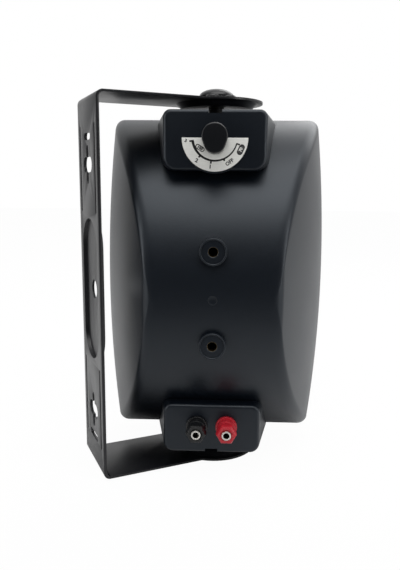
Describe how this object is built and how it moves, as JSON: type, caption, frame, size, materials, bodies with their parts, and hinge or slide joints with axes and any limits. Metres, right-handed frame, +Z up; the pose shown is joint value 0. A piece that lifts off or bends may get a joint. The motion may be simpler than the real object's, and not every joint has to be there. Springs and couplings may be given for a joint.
{
  "type": "wall speaker",
  "caption": "Two-way wall speaker in a barrel-backed moulded cabinet, swivelling in a folded steel bracket, with a tap selector and two binding posts.",
  "frame": {"origin": "midway between the two threaded inserts in the cabinet's back, on their mouths", "axes": "+Z up, -Y the way the grille faces, +Y out of the back"},
  "size_m": [0.1763, 0.1288, 0.2656],
  "materials": {
    "cabinet_plastic": "satin charcoal moulding with a fine grain",
    "grille_steel": "perforated sheet, powder coated",
    "bracket_steel": "satin powder coat on folded sheet",
    "knob_plastic": "fine matt moulding",
    "black_post_plastic": "semi-gloss moulding",
    "red_post_plastic": "semi-gloss moulding",
    "dial_film": "printed dial with plain numbers",
    "nickel": "nickel plate",
    "insert_brass": "turned brass",
    "zinc_steel": "zinc plate",
    "black_steel": "black oxide",
    "rubber": "matt rubber",
    "cone_paper": "pressed black pulp",
    "spider_cloth": "resin-treated cloth",
    "dome_silk": "coated silk",
    "tweeter_plastic": "matt moulding",
    "copper": "enamelled copper",
    "board_laminate": "solder-masked laminate"
  },
  "bodies": {
    "bracket": {"bracket": "bracket_steel"},
    "cabinet": {"rear_cabinet": "cabinet_plastic", "front_baffle": "cabinet_plastic", "grille": "grille_steel", "tap_switch": "knob_plastic", "black_post_base": "black_post_plastic", "red_post_base": "red_post_plastic", "dial_plate": "dial_film", "post_tubes": "nickel", "post_nuts": "nickel", "switch_nut": "nickel", "rear_insert_upper": "insert_brass", "rear_insert_lower": "insert_brass", "pivot_insert_top": "insert_brass", "pivot_insert_bottom": "insert_brass", "bottom_washer": "zinc_steel", "board_screws": "zinc_steel", "transformer_screws": "zinc_steel", "woofer_magnet": "zinc_steel", "tweeter_magnet": "zinc_steel", "transformer_core": "zinc_steel", "bottom_bolt": "black_steel", "case_screws": "black_steel", "woofer_screws": "black_steel", "tweeter_screws": "black_steel", "woofer_basket": "black_steel", "top_spacer": "rubber", "bottom_spacer": "rubber", "woofer_surround": "rubber", "baffle_gasket": "rubber", "spider": "spider_cloth", "tweeter_dome": "dome_silk", "tweeter_faceplate": "tweeter_plastic", "crossover_capacitor": "tweeter_plastic", "crossover_coil": "copper", "transformer_winding": "copper", "crossover_board": "board_laminate"},
    "tap": {"tap_knob": "knob_plastic", "tap_shaft": "nickel"},
    "clamp": {"clamp_knob": "knob_plastic", "clamp_screw": "zinc_steel"},
    "black_cap": {"black_post_cap": "black_post_plastic"},
    "red_cap": {"red_post_cap": "red_post_plastic"},
    "cone": {"woofer_cone": "cone_paper", "dust_cap": "cone_paper", "voice_coil": "copper"}
  },
  "joints": [
    {"name": "swivel", "type": "hinge", "parent": "bracket", "child": "cabinet", "pos_m": [0, -0.0717, 0], "axis": [0, 0, 1], "range_deg": [-154, 26]},
    {"name": "tap_turn", "type": "hinge", "parent": "cabinet", "child": "tap", "pos_m": [0, -0.0091, 0.0995], "axis": [0, 1, 0], "range_deg": [-80, 80]},
    {"name": "clamp_turn", "type": "hinge", "parent": "cabinet", "child": "clamp", "pos_m": [0, -0.0717, 0.13], "axis": [0, 0, 1], "range_deg": [0, 720]},
    {"name": "black_cap_turn", "type": "hinge", "parent": "cabinet", "child": "black_cap", "pos_m": [0.01, -0.0065, -0.091], "axis": [0, 1, 0], "range_deg": [0, 720]},
    {"name": "red_cap_turn", "type": "hinge", "parent": "cabinet", "child": "red_cap", "pos_m": [-0.01, -0.0065, -0.091], "axis": [0, 1, 0], "range_deg": [0, 720]},
    {"name": "cone_travel", "type": "slide", "parent": "cabinet", "child": "cone", "axis": [0, 1, 0], "range_m": [-0.003, 0.003], "stiffness_N_per_m": 1200, "deforming": ["woofer_surround", "spider"]}
  ]
}
